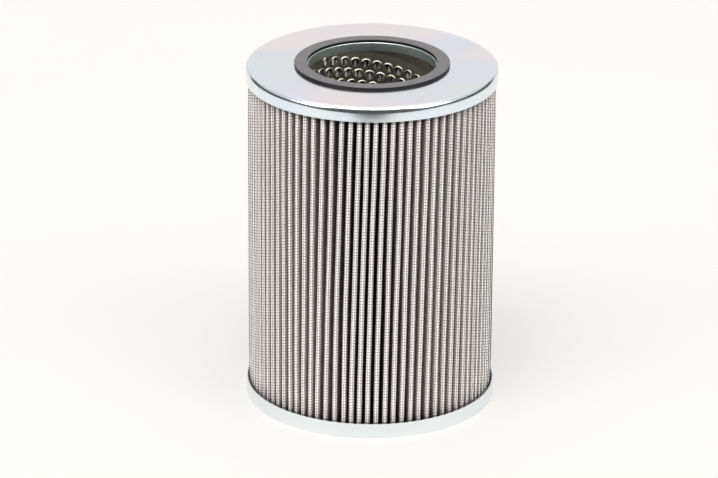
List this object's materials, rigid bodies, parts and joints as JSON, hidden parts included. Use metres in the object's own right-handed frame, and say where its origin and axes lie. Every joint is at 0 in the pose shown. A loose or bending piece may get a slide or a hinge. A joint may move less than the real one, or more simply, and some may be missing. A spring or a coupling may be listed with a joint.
{
  "type": "pleated filter element",
  "caption": "Cylindrical pleated filter element: folded wire mesh and media round a perforated tube, between pressed end caps, with a flat seal round the open end.",
  "frame": {"origin": "centre of the bottom cap's outer face", "axes": "+Z along the element's axis, towards the open end"},
  "size_m": [0.15, 0.15, 0.2106],
  "materials": {
    "cap_steel": "clear zinc plate, faintly iridescent",
    "seal_rubber": "matt black nitrile rubber",
    "tube_steel": "zinc-coated strip, oiled",
    "mesh_steel": "galvanised woven wire",
    "media": "white non-woven filter sheet",
    "adhesive": "cast potting adhesive"
  },
  "bodies": {
    "root": {"top_end_cap": "cap_steel", "bottom_end_cap": "cap_steel", "top_seal": "seal_rubber", "centre_tube": "tube_steel", "outer_mesh": "mesh_steel", "filter_media": "media", "top_adhesive": "adhesive", "bottom_adhesive": "adhesive", "side_seam": "adhesive"}
  },
  "joints": []
}
